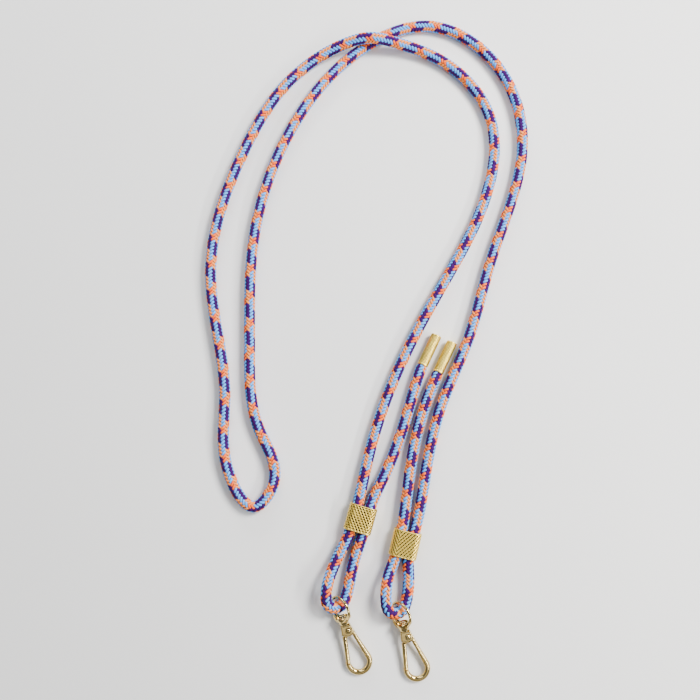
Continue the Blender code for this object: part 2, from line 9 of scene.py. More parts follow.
import bmesh
import bpy
import numpy as np
from mathutils import Matrix, Vector


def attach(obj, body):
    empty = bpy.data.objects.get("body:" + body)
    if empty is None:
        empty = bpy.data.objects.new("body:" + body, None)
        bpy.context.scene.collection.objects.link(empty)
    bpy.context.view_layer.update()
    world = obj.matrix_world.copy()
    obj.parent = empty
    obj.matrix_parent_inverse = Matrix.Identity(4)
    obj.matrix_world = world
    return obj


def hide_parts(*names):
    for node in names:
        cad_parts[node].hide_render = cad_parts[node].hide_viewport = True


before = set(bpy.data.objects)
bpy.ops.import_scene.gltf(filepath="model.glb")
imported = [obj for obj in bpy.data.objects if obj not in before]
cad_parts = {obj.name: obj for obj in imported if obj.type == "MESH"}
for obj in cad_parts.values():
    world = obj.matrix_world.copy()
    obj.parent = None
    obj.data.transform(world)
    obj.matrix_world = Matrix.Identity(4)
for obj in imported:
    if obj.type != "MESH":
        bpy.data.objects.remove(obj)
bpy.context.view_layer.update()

MM = 0.001
MM_IN_A_METRE = 1000
TO_METRES = Matrix.Scale(MM, 4)

# Camera that stands as the photograph's did
CAMERA_PLACE = (-0.027, 0.048, 0.4334)
CAMERA_TILT = math.radians(6.0)
CAMERA_LENS = 36.0
CAMERA_SENSOR = 36.0
CAMERA_NEAREST = 0.01

# Softboxes by name: place, the point aimed at, width and height, watts, colour
LIGHTS = {
    "window": ((0.62, 0.50, 0.80), (-0.02, 0.08, 0.0), (0.36, 0.36), 27.0, (1.0, 0.98, 0.95)),
    "sky": ((-0.5, 0.7, 1.0), (-0.02, 0.08, 0.0), (0.7, 0.7), 5.0, (0.93, 0.96, 1.0)),
    "strip": ((0.72, -0.18, 0.56), (0.0, -0.08, 0.0), (0.8, 0.07), 9.0, (1.0, 0.99, 0.96)),
    "back": ((-0.2, 0.85, 0.30), (0.0, -0.05, 0.0), (0.5, 0.14), 4.0, (1.0, 1.0, 1.0)),
    "card": ((0.09, -0.60, 0.95), (-0.01, -0.07, 0.0), (0.6, 0.4), 0.65, (1.0, 0.96, 0.88)),
}
BACKDROP_COLOUR = (0.93, 0.95, 1.0, 1.0)
BACKDROP_STRENGTH = 0.22
FLOOR_SIZE = 6.0
FLOOR_DARK = (0.80, 0.80, 0.80, 1.0)
FLOOR_LIGHT = (0.84, 0.84, 0.84, 1.0)

# Cord and braid, in metres
CORD_REST = 3.55 * MM
CORD_END_SCALE = 5.1 / 7.0
CORD_SHOULDER = 1.2 * MM
CORE_RADIUS = 2.55 * MM
CORE_ROWS = 900
ROUTE_ROWS = 96
AXIS_REACH = 0.6 * MM
STITCH = 2.159 * MM
YARN_PATH_RADIUS = 2.62 * MM
YARN_WEAVE = 0.46 * MM
YARN_HALF_WIDTH = 0.80 * MM
PURPLE_HALF_WIDTH = 1.14 * MM
YARN_HALF_THICKNESS = 0.46 * MM
YARN_STEP = math.radians(45.0)
YARN_SQUARENESS = 2.0
WAVES_ROUND = 4.0
RINGS_A_STITCH = 4

# The bake map of a yarn piece: its bands, and where a strip starts and how much it fills
MAP_BANDS = 64
MAP_ACROSS = (0.06, 0.88)
MAP_ALONG = (0.004, 0.992)

# How far each yarn's filaments are shifted along it, in millimetres
LAY_SHIFT = 7.3
LAY_SHIFT_FORWARD = 31.0

# Slider, end cap, eye and hook in millimetres. A knurl gives the diamonds round and along,
# the share of flat ridge between its pits and the pattern's shift in diamonds, both ways.
SLIDER_LENGTH = 15.8
SLIDER_WIDTH = 16.8
SLIDER_THICKNESS = 9.6
SLIDER_CORNER = 4.0
SLIDER_RIM = 0.4
SLIDER_END_BEVEL = 0.3
LEFT_KNURL = (23, 5.5, 0.2, -0.25, 0.125)
LEFT_KNURL_DEPTH = 0.62
RIGHT_KNURL = (23, 5.5, 0.4, 0.0, 0.0)
RIGHT_KNURL_DEPTH = 0.55
GROOVE_SHARE = 0.62
SLIDER_FINENESS = 4
CAP_KNURL = (18, 16, 0.15, 0.0, 0.0)
CAP_KNURL_DEPTH = 0.28
CAP_FINENESS = 3
KNURL_FADE = 8
CORD_PITCH = 7.7
BORE_RADIUS = 3.8
CORD_PAST_SLIDER = 0.3
CAP_LENGTH = 20.8
CAP_BARE = 0.8
CAP_RADIUS = 3.3
CAP_BORE = 2.85
CAP_DEPTH = 19.9
CORD_IN_CAP = 19.6
EYE_RADIUS = 7.3
EYE_WIRE = 0.85
CHEEK_START = 0.5
CHEEK_AT = 2.6
CHEEK_END = 7.6
EYE_ROLL = math.radians(48.0)
EYE_HEIGHT = 6.375
HOOK_PITCH = math.radians(6.8057)
COLLAR_START = 6.4
COLLAR_END = 9.4
COLLAR_RADIUS = 3.3
CUP_RISE = 1.8
CUP_RADIUS = 4.0
STEM_RADIUS = 1.1
STEM_BORE = 1.4
SHOULDER = 9.7
RIVET = Vector((13.2, 1.0, 0.0))
RIVET_RADIUS = 1.0
RIVET_HEAD = 1.6
HEAD_LEFT = 2.6
HEAD_WING = 0.9
HEAD_HALF = 1.9
HEAD_BEVEL = 0.7
BOSS_RADIUS = 3.45
SLOT_HALF = 0.85
RECESS_RADIUS = 1.9
RECESS_FLOOR = 1.5
BOW_CENTRE = Vector((33.1, 1.85, 0.0))
BOW_RADIUS = 6.35
BOW_BAR = 1.65
ARM_BAR = 1.2
ARM_LEAN = math.radians(16.0)
NOSE_LEAN = math.radians(8.3)
GATE_BAR = 1.35
GATE_EYE = 1.9
GATE_NECK = 1.0
GATE_START = 3.2
JOINT_CUT = math.radians(48.0)
JOINT_GAP = 0.3
SLOT_SWING = math.radians(27.0)
SLOT_BACK = math.radians(20.0)
BOSS_END = math.radians(35.0)
CUT_REACH = 4.0

# Where the pieces lie, in millimetres and degrees
SLIDERS = {"left": (-20.7, -8.7, 16.2), "right": (6.0, -23.5, 14.0)}
CAPS = {"left": (17.6, 83.7, 25.7), "right": (27.2, 79.3, 25.7)}
HOOKS = {"left": (-32.9, -60.9, 16.7), "right": (2.9, -64.2, 13.7)}

# The cord's half turn through each eye: centre from the eye's centre, radius, lean, tilt
TURNS = {"left": (-2.4, 7.0, 0.3, 6.5, -11.0, 26.0), "right": (-2.6, 7.6, 0.3, 6.8, -6.0, 26.0)}

# The cord's route between its fittings, in millimetres
LEFT_TAIL = [(9.6, 59.3, 0.0), (-6.1, 16.7, 0.0)]
LEFT_LIMB_DOWN = [(-25.4, -37.0, 3.6)]
LEFT_LIMB_UP = [(-37.6, -38.5, 6.2)]
LONG_LOOP = [
    (-14.7, 31.7, 0.0), (3.0, 81.5, 0.0), (33.9, 139.3, 0.0), (59.0, 191.1, 0.0),
    (62.0, 244.5, 0.0), (31.0, 281.2, 4.0), (0.0, 291.3, 8.0), (-14.4, 292.3, 10.9),
    (-29.3, 290.3, 8.0), (-58.0, 274.8, 0.0), (-95.5, 218.0, 0.0), (-114.0, 140.0, 0.0),
    (-103.8, 65.4, 0.0), (-99.3, 15.0, 0.0), (-84.5, -1.8, 0.0), (-73.3, 12.0, 0.0),
    (-82.1, 43.8, 0.0), (-89.0, 93.0, 0.0), (-86.6, 168.5, 0.0), (-59.2, 244.1, 0.0),
    (-20.2, 288.2, 0.0), (25.2, 304.3, 0.0), (68.1, 277.0, 0.0), (82.8, 224.2, 0.0),
    (61.2, 149.1, 0.0), (45.8, 99.0, 0.0), (28.4, 57.5, 0.0), (19.2, 19.6, 0.0),
]
RIGHT_LIMB_DOWN = [(8.0, -43.5, 3.6)]
RIGHT_LIMB_UP = [(-4.6, -43.5, 6.2)]
RIGHT_TAIL = [(13.5, 41.0, 0.0)]

# How the braid lies, at points of the route by number: its roll about the cord in degrees,
# and how many stitches it is ahead of an evenly drawn one
BRAID_LIE = [
    (0, 138, 0.2), (2, 138, 0.6), (3, 132, 1.2), (6, 138, -0.5), (12, 160, -2.0), (14, 162, -3.5),
    (16, 142, -3.8), (17, 168, -4.0), (18, 178, -4.5), (20, 198, -4.1), (22, 184, -3.8),
    (25, 214, -4.6), (26, 220, -4.4), (28, 222, -4.2), (30, 222, -4.1), (32, 264, -4.4),
    (33, 234, -4.1), (34, 234, -3.5), (35, 236, -2.4), (36, 246, -1.2), (37, 266, -0.6),
    (38, 298, 0.3), (39, 318, 0.4), (40, 322, 0.0), (41, 338, 0.0), (43, 350, -0.8),
    (45, 372, -1.9), (51, 384, -3.6), (53, 392, -5.0), (54, 376, -5.1), (56, 370, -5.0),
]

ORANGE = (1.0, 0.17, 0.025)
DEEP_ORANGE = (0.88, 0.10, 0.012)
PEACH = (0.98, 0.33, 0.08)
DEEP_PEACH = (0.82, 0.20, 0.04)
BLUE = (0.12, 0.45, 0.98)
DEEP_BLUE = (0.055, 0.30, 0.90)
PURPLE = (0.054, 0.001, 0.125)
DEEP_PURPLE = (0.012, 0.0002, 0.032)
# Painted shade that darkens each yarn toward its sides
YARN_SIDE_SHADE = (0.12, 0.08, 0.17, 1.0)
# Near-black core colours: painted shade seen in the gaps between the yarns
CORE_SHADE_COLOUR = (0.05, 0.03, 0.07, 1.0)
DEEP_CORE_SHADE_COLOUR = (0.02, 0.012, 0.03, 1.0)

# Gold plating: its lighter and darker patches, roughness, and the scale and depth of its
# scratches, and for a knurl how deep in its pits the grime and painted shade start
SLIDER_GOLD = {"light": (1.0, 0.74, 0.15), "dark": (0.97, 0.67, 0.12), "roughness": 0.38,
               "grain_scale": 2600.0, "scratch": 0.35, "grime_and_shade": 0.08}
CAP_GOLD = {"light": (1.0, 0.76, 0.15), "dark": (1.0, 0.72, 0.12), "roughness": 0.34,
            "grain_scale": 2600.0, "scratch": 0.3, "grime_and_shade": 0.2}
HOOK_GOLD = {"light": (0.72, 0.55, 0.23), "dark": (0.58, 0.42, 0.15), "roughness": 0.11,
             "grain_scale": 1500.0, "scratch": 0.15}
# Grime and painted shade in a knurl's pits, and how far down they deepen
GRIME_AND_PIT_SHADE = (0.035, 0.022, 0.008, 1.0)
GRIME_AND_PIT_SHADE_REACH = 0.3


# Camera, floor and light

def set_camera():
    data = bpy.data.cameras.new("camera")
    data.lens = CAMERA_LENS
    data.sensor_width = CAMERA_SENSOR
    data.clip_start = CAMERA_NEAREST
    camera = bpy.data.objects.new("camera", data)
    camera.location = CAMERA_PLACE
    camera.rotation_euler = (CAMERA_TILT, 0.0, 0.0)
    bpy.context.scene.collection.objects.link(camera)
    bpy.context.scene.camera = camera


def area_light(name, place, aim, size, power, colour):
    """A softbox of the given width and height."""
    data = bpy.data.lights.new(name, "AREA")
    data.shape = "RECTANGLE"
    data.size, data.size_y = size
    data.energy = power
    data.color = colour
    light = bpy.data.objects.new(name, data)
    light.location = place
    light.rotation_euler = (Vector(aim) - Vector(place)).to_track_quat("-Z", "Y").to_euler()
    bpy.context.scene.collection.objects.link(light)


def set_light():
    for name, settings in LIGHTS.items():
        area_light(name, *settings)
    world = bpy.data.worlds.new("studio")
    world.use_nodes = True
    backdrop = world.node_tree.nodes["Background"]
    backdrop.inputs["Color"].default_value = BACKDROP_COLOUR
    backdrop.inputs["Strength"].default_value = BACKDROP_STRENGTH
    bpy.context.scene.world = world


def lay_floor():
    nothing_selected()
    bpy.ops.mesh.primitive_plane_add(size=FLOOR_SIZE, location=(0.0, 0.0, 0.0))
    floor = named("floor")
    floor.data.materials.append(floor_finish())


# Small helps for modelling

def nothing_selected():
    if bpy.context.mode != "OBJECT":
        bpy.ops.object.mode_set(mode="OBJECT")
    bpy.ops.object.select_all(action="DESELECT")


def named(name):
    piece = bpy.context.active_object
    piece.name = name
    piece.data.name = name
    return piece


def only(piece):
    nothing_selected()
    piece.select_set(True)
    bpy.context.view_layer.objects.active = piece


def editing(piece):
    only(piece)
    bpy.ops.object.mode_set(mode="EDIT")


def done_editing():
    bpy.ops.object.mode_set(mode="OBJECT")


def pick(piece, kind, wanted):
    """In edit mode, selects only the verts, edges or faces that the test wants."""
    modes = {"verts": (True, False, False), "edges": (False, True, False), "faces": (False, False, True)}
    bpy.context.tool_settings.mesh_select_mode = modes[kind]
    bpy.ops.mesh.select_all(action="DESELECT")
    bm = bmesh.from_edit_mesh(piece.data)
    for part in getattr(bm, kind):
        part.select_set(bool(wanted(part)))
    bm.select_flush_mode()
    bmesh.update_edit_mesh(piece.data)


def applied(piece):
    only(piece)
    for modifier in list(piece.modifiers):
        bpy.ops.object.modifier_apply(modifier=modifier.name)


def cut_or_joined(piece, tools):
    """Joins pieces to this one or cuts them out of it, one after another."""
    for tool, operation in tools:
        modifier = piece.modifiers.new(operation.title(), "BOOLEAN")
        modifier.operation = operation
        modifier.object = tool
    applied(piece)
    for tool, _ in tools:
        bpy.data.objects.remove(tool, do_unlink=True)


def outward_faces(piece):
    editing(piece)
    bpy.ops.mesh.select_all(action="SELECT")
    bpy.ops.mesh.remove_doubles(threshold=0.0005)
    bpy.ops.mesh.normals_make_consistent(inside=False)
    done_editing()


def smoothed(piece, angle):
    only(piece)
    bpy.ops.object.shade_smooth_by_angle(angle=math.radians(angle))


def second_of(piece, name):
    twin = piece.copy()
    twin.data = piece.data.copy()
    twin.name = name
    twin.data.name = name
    bpy.context.scene.collection.objects.link(twin)
    return twin


def settled(piece, place, body, node, material):
    """Puts a finished piece where its CAD node is and lets it ride there."""
    piece.data.transform(place @ TO_METRES)
    piece.data.materials.clear()
    piece.data.materials.append(material)
    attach(piece, body)
    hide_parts(node)


def arc(centre, radius, start, end, steps):
    angles = np.linspace(start, end, steps)
    return [(centre[0] + radius * math.cos(a), centre[1] + radius * math.sin(a)) for a in angles]


def circle(centre, radius, sides):
    return arc(centre, radius, 0, 2 * math.pi, sides + 1)[:-1]


def plate(name, outline, bottom, top):
    """A flat plate cut to an outline in the XY plane, drawn up along Z."""
    nothing_selected()
    bpy.ops.mesh.primitive_circle_add(vertices=len(outline), radius=1.0, fill_type="NGON",
                                      location=(0.0, 0.0, 0.0))
    piece = named(name)
    for vert, (x, y) in zip(piece.data.vertices, outline):
        vert.co = (x, y, bottom)
    editing(piece)
    bpy.ops.mesh.select_all(action="SELECT")
    bpy.ops.mesh.extrude_region_move(TRANSFORM_OT_translate={"value": (0.0, 0.0, top - bottom)})
    done_editing()
    outward_faces(piece)
    return piece


def rims_rounded(piece, width, steps):
    """Rounds the edges round the top and the bottom of a plate."""
    editing(piece)
    pick(piece, "edges", lambda e: abs(e.verts[0].co.z - e.verts[1].co.z) < 0.001)
    bpy.ops.mesh.bevel(offset=width, segments=steps, affect="EDGES")
    done_editing()


def turned(name, rows, sides):
    """A round piece drawn out of a disc along +X, ring by ring, from (x, radius) rows."""
    nothing_selected()
    x, radius = rows[0]
    bpy.ops.mesh.primitive_circle_add(vertices=sides, radius=radius, fill_type="NGON",
                                      location=(x, 0.0, 0.0), rotation=(0.0, math.pi / 2, 0.0))
    piece = named(name)
    bpy.ops.object.transform_apply(location=True, rotation=True, scale=True)
    editing(piece)
    bpy.ops.mesh.select_all(action="SELECT")
    for next_x, next_radius in rows[1:]:
        bpy.ops.mesh.extrude_region_move(TRANSFORM_OT_translate={"value": (next_x - x, 0.0, 0.0)})
        ratio = next_radius / radius
        bpy.ops.transform.resize(value=(1.0, ratio, ratio), center_override=(next_x, 0.0, 0.0))
        x, radius = next_x, next_radius
    done_editing()
    outward_faces(piece)
    return piece


# Finishes

class Finish:
    """A material's nodes, laid one after another."""

    def __init__(self, name):
        self.material = bpy.data.materials.new(name)
        self.material.use_nodes = True
        self.nodes = self.material.node_tree.nodes
        self.links = self.material.node_tree.links
        self.shader = self.nodes["Principled BSDF"]

    def node(self, kind, settings=None, **values):
        made = self.nodes.new(kind)
        for key, value in (settings or {}).items():
            setattr(made, key, value)
        for key, value in values.items():
            made.inputs[key.replace("_", " ")].default_value = value
        return made

    def link(self, source, target):
        self.links.new(source, target)

    def set(self, **values):
        for key, value in values.items():
            self.shader.inputs[key.replace("_", " ")].default_value = value


def floor_finish():
    finish = Finish("floor")
    where = finish.node("ShaderNodeTexCoord")
    grain = finish.node("ShaderNodeTexNoise", Scale=9.0, Detail=4.0)
    tint = finish.node("ShaderNodeValToRGB")
    tint.color_ramp.elements[0].color = FLOOR_DARK
    tint.color_ramp.elements[1].color = FLOOR_LIGHT
    finish.link(where.outputs["Object"], grain.inputs["Vector"])
    finish.link(grain.outputs["Fac"], tint.inputs["Fac"])
    finish.link(tint.outputs["Color"], finish.shader.inputs["Base Color"])
    finish.set(Roughness=0.9)
    return finish.material


def yarn_finish(name, colour, shade):
    """Fine filaments that run along the yarn, with painted shade that darkens it toward its sides."""
    finish = Finish(name)
    lay = finish.node("ShaderNodeUVMap", {"uv_map": "lay"})
    stretch = finish.node("ShaderNodeMapping", Scale=(34.0, 1.6, 1.0))
    filaments = finish.node("ShaderNodeTexNoise", Scale=1.0, Detail=3.0, Roughness=0.6)
    patches = finish.node("ShaderNodeTexNoise", Scale=0.35, Detail=2.0)
    finish.link(lay.outputs["UV"], stretch.inputs["Vector"])
    finish.link(stretch.outputs["Vector"], filaments.inputs["Vector"])
    finish.link(lay.outputs["UV"], patches.inputs["Vector"])
    blend = finish.node("ShaderNodeMath", {"operation": "MULTIPLY_ADD"})
    blend.inputs[1].default_value = 0.7
    finish.link(filaments.outputs["Fac"], blend.inputs[0])
    scaled = finish.node("ShaderNodeMath", {"operation": "MULTIPLY"})
    scaled.inputs[1].default_value = 0.3
    finish.link(patches.outputs["Fac"], scaled.inputs[0])
    finish.link(scaled.outputs[0], blend.inputs[2])
    ramp = finish.node("ShaderNodeValToRGB")
    ramp.color_ramp.elements[0].position = 0.36
    ramp.color_ramp.elements[0].color = (*shade, 1.0)
    ramp.color_ramp.elements[1].position = 0.60
    ramp.color_ramp.elements[1].color = (*colour, 1.0)
    finish.link(blend.outputs[0], ramp.inputs["Fac"])
    # Painted shade: the colour is multiplied darker toward the yarn's sides, away from its top
    around = finish.node("ShaderNodeSeparateXYZ")
    finish.link(lay.outputs["UV"], around.inputs["Vector"])
    from_top = finish.node("ShaderNodeMath", {"operation": "SUBTRACT"})
    from_top.inputs[1].default_value = 1 / 3
    finish.link(around.outputs["X"], from_top.inputs[0])
    either = finish.node("ShaderNodeMath", {"operation": "ABSOLUTE"})
    finish.link(from_top.outputs[0], either.inputs[0])
    sides = finish.node("ShaderNodeMapRange", From_Min=0.15, From_Max=0.33)
    finish.link(either.outputs[0], sides.inputs["Value"])
    shaded = finish.node("ShaderNodeMix", {"data_type": "RGBA", "blend_type": "MULTIPLY"})
    shaded.inputs["B"].default_value = YARN_SIDE_SHADE
    finish.link(sides.outputs["Result"], shaded.inputs["Factor"])
    finish.link(ramp.outputs["Color"], shaded.inputs["A"])
    finish.link(shaded.outputs["Result"], finish.shader.inputs["Base Color"])
    bump = finish.node("ShaderNodeBump", Strength=0.6, Distance=0.0001)
    finish.link(filaments.outputs["Fac"], bump.inputs["Height"])
    finish.link(bump.outputs["Normal"], finish.shader.inputs["Normal"])
    finish.set(Roughness=0.7, Specular_IOR_Level=0.12, Sheen_Weight=0.02, Sheen_Roughness=0.4)
    return finish.material


# The core's near-black colour is painted shade in the gaps between the yarns
def core_finish():
    finish = Finish("core")
    where = finish.node("ShaderNodeTexCoord")
    grain = finish.node("ShaderNodeTexNoise", Scale=900.0, Detail=3.0)
    ramp = finish.node("ShaderNodeValToRGB")
    ramp.color_ramp.elements[0].color = DEEP_CORE_SHADE_COLOUR
    ramp.color_ramp.elements[1].color = CORE_SHADE_COLOUR
    finish.link(where.outputs["Object"], grain.inputs["Vector"])
    finish.link(grain.outputs["Fac"], ramp.inputs["Fac"])
    finish.link(ramp.outputs["Color"], finish.shader.inputs["Base Color"])
    finish.set(Roughness=0.95)
    return finish.material


def gold_finish(name, light, dark, roughness, grain_scale, scratch, grime_and_shade=0.0):
    """Gold plating: slight colour patches, fine scratches, a roughness that varies, and
    grime and painted shade that darken the pits of a knurl."""
    finish = Finish(name)
    where = finish.node("ShaderNodeTexCoord")
    patches = finish.node("ShaderNodeTexNoise", Scale=180.0, Detail=4.0, Roughness=0.6)
    grain = finish.node("ShaderNodeTexNoise", Scale=grain_scale, Detail=3.0)
    finish.link(where.outputs["Object"], patches.inputs["Vector"])
    finish.link(where.outputs["Object"], grain.inputs["Vector"])
    ramp = finish.node("ShaderNodeValToRGB")
    ramp.color_ramp.elements[0].position = 0.35
    ramp.color_ramp.elements[0].color = (*dark, 1.0)
    ramp.color_ramp.elements[1].position = 0.65
    ramp.color_ramp.elements[1].color = (*light, 1.0)
    finish.link(patches.outputs["Fac"], ramp.inputs["Fac"])
    colour = ramp.outputs["Color"]
    # Grime and painted shade: the colour is multiplied darker the deeper a knurl's pit is
    if grime_and_shade:
        depth = finish.node("ShaderNodeAttribute", {"attribute_name": "depth"})
        mix = finish.node("ShaderNodeMix", {"data_type": "RGBA", "blend_type": "MULTIPLY"})
        deep = finish.node("ShaderNodeMapRange", From_Min=grime_and_shade, From_Max=grime_and_shade + GRIME_AND_PIT_SHADE_REACH)
        finish.link(depth.outputs["Fac"], deep.inputs["Value"])
        finish.link(deep.outputs["Result"], mix.inputs["Factor"])
        finish.link(colour, mix.inputs["A"])
        mix.inputs["B"].default_value = GRIME_AND_PIT_SHADE
        colour = mix.outputs["Result"]
    finish.link(colour, finish.shader.inputs["Base Color"])
    range_of = finish.node("ShaderNodeMapRange", From_Min=0.3, From_Max=0.7,
                           To_Min=roughness * 0.8, To_Max=roughness * 1.25)
    finish.link(grain.outputs["Fac"], range_of.inputs["Value"])
    finish.link(range_of.outputs["Result"], finish.shader.inputs["Roughness"])
    bump = finish.node("ShaderNodeBump", Strength=scratch, Distance=0.00002)
    finish.link(grain.outputs["Fac"], bump.inputs["Height"])
    finish.link(bump.outputs["Normal"], finish.shader.inputs["Normal"])
    finish.set(Metallic=1.0)
    return finish.material


# Cord

def lean_axes(lean):
    """The ways up and across of a piece that leans so many degrees to the right."""
    angle = math.radians(lean)
    up = Vector((math.sin(angle), math.cos(angle), 0))
    across = Vector((math.cos(angle), -math.sin(angle), 0))
    return up, across


def chosen(points):
    """Route points in metres, none lower than the cord can lie."""
    return [Vector((x * MM, y * MM, max(z * MM, CORD_REST))) for x, y, z in points]


def slider_pass(side, hole, downward):
    """The route straight through one hole of a slider."""
    x, y, lean = SLIDERS[side]
    up, across = lean_axes(lean)
    centre = Vector((x, y, SLIDER_THICKNESS / 2)) * MM
    centre += across * (CORD_PITCH / 2 * MM * (1 if hole == "right" else -1))
    reach = up * (SLIDER_LENGTH / 2 + CORD_PAST_SLIDER) * MM
    ends = [centre + reach, centre - reach]
    return ends if downward else ends[::-1]


def eye_turn(side):
    x, y, z, radius, lean, tilt = TURNS[side]
    up, right = lean_axes(-lean)
    down = -up
    tilt = math.radians(tilt)
    outward = right * math.cos(tilt) - Vector((0, 0, 1)) * math.sin(tilt)
    centre = Vector((HOOKS[side][0] + x, HOOKS[side][1] + y, EYE_HEIGHT + z)) * MM
    return [centre + radius * MM * (math.cos(a) * outward + math.sin(a) * down)
            for a in np.linspace(0, math.pi, 5)]


def cap_run(side):
    x, y, lean = CAPS[side]
    mouth = Vector((x * MM, y * MM, CORD_REST))
    return [mouth + lean_axes(lean)[0] * CORD_IN_CAP * MM, mouth]


def cord_route():
    route = cap_run("left") + chosen(LEFT_TAIL) + slider_pass("left", "right", True)
    route += chosen(LEFT_LIMB_DOWN) + eye_turn("left") + chosen(LEFT_LIMB_UP)
    route += slider_pass("left", "left", False) + chosen(LONG_LOOP)
    route += slider_pass("right", "right", True)
    route += chosen(RIGHT_LIMB_DOWN) + eye_turn("right") + chosen(RIGHT_LIMB_UP)
    route += slider_pass("right", "left", False) + chosen(RIGHT_TAIL)
    return route + cap_run("right")[::-1]


def smooth_curve(points, per_span):
    """A natural cubic spline through the points, with per_span rows from each to the next."""
    places = np.array(points, float)
    steps = np.linalg.norm(np.diff(places, axis=0), axis=1)
    count = len(places)
    matrix = np.eye(count)
    right = np.zeros((count, 3))
    slopes = np.diff(places, axis=0) / steps[:, None]
    for i in range(1, count - 1):
        matrix[i, i - 1:i + 2] = (steps[i - 1], 2 * (steps[i - 1] + steps[i]), steps[i])
        right[i] = 6 * (slopes[i] - slopes[i - 1])
    bend = np.linalg.solve(matrix, right)
    b = (np.arange(per_span) / per_span)[:, None]
    a = 1 - b
    rows = []
    for i in range(count - 1):
        swing = (a ** 3 - a) * bend[i] + (b ** 3 - b) * bend[i + 1]
        rows.append(a * places[i] + b * places[i + 1] + steps[i] ** 2 / 6 * swing)
    rows.append(places[-1:])
    return np.vstack(rows)


class CordLine:
    """The cord's centre line by the distance along it, with its axes and thickness."""

    def __init__(self):
        route = cord_route()
        rows = smooth_curve(route, ROUTE_ROWS)
        rows[:, 2] = np.maximum(rows[:, 2], CORD_REST)
        self.rows = rows
        self.run = np.r_[0.0, np.cumsum(np.linalg.norm(np.diff(rows, axis=0), axis=1))]
        self.length = self.run[-1]
        self.marks = self.run[np.arange(len(route)) * ROUTE_ROWS]

    def at(self, run):
        return np.stack([np.interp(run, self.run, self.rows[:, k]) for k in range(3)], axis=-1)

    def axes(self, run):
        """Forward, up and right, each of length one."""
        ahead = self.at(np.minimum(run + AXIS_REACH, self.length))
        behind = self.at(np.maximum(run - AXIS_REACH, 0.0))
        forward = ahead - behind
        forward /= np.linalg.norm(forward, axis=1)[:, None]
        up = np.array([0.0, 0.0, 1.0]) - forward * forward[:, 2:3]
        up /= np.linalg.norm(up, axis=1)[:, None]
        return forward, up, np.cross(forward, up)

    def thickness(self, run):
        """One on the free cord, less where a cap grips it."""
        from_cap = np.minimum(run - self.marks[1], self.marks[-2] - run)
        share = np.clip(from_cap / CORD_SHOULDER, 0.0, 1.0)
        return CORD_END_SCALE + (1.0 - CORD_END_SCALE) * share * share * (3 - 2 * share)

    def lie(self, run):
        """The braid's roll in radians and the stitches that it is ahead."""
        places = [self.marks[number] for number, _, _ in BRAID_LIE]
        roll = np.interp(run, places, [angle for _, angle, _ in BRAID_LIE])
        return np.radians(roll), np.interp(run, places, [ahead for _, _, ahead in BRAID_LIE])


def yarn_section(w):
    """The yarn's cut across, of half width w, rounded on top."""
    t = YARN_HALF_THICKNESS
    edge, shoulder, under = -0.1 * t, 0.72 * t, -0.8 * t
    inner = 0.66 * w
    return [(-w, edge), (-inner, shoulder), (0.0, t), (inner, shoulder), (w, edge), (0.0, under)]


def yarn_rings(line, number, forward_lay, half_width, count):
    """Rings of points round one yarn as it winds along the cord, over two and under two."""
    run = np.linspace(0.0, line.length, count)
    roll, ahead = line.lie(run)
    turns = run / STITCH + ahead
    if forward_lay:
        angle = YARN_STEP * (turns - number) + YARN_STEP / 2
        column = YARN_STEP
    else:
        angle = YARN_STEP * (number - turns)
        column = 0.0
    wave = np.cos(WAVES_ROUND * (angle - column))
    rise = np.tanh(YARN_SQUARENESS * wave) / math.tanh(YARN_SQUARENESS)
    scale = line.thickness(run)
    angle = angle + roll
    centre = line.at(run)
    _, up, right = line.axes(run)
    outward = np.cos(angle)[:, None] * up + np.sin(angle)[:, None] * right
    path = centre + outward * ((YARN_PATH_RADIUS + YARN_WEAVE * rise) * scale)[:, None]
    along = np.gradient(path, axis=0)
    along /= np.linalg.norm(along, axis=1)[:, None]
    side = np.cross(outward, along)
    side /= np.linalg.norm(side, axis=1)[:, None]
    proud = np.cross(along, side)
    rings = [path + (side * w + proud * t) * scale[:, None] for w, t in yarn_section(half_width)]
    return np.stack(rings, axis=1), run


def corner_places(*corners):
    """Rows of map places for each quad's corners, given by their two coordinates."""
    return np.stack([np.stack(corner, -1) for corner in corners], 2).reshape(-1, 2)


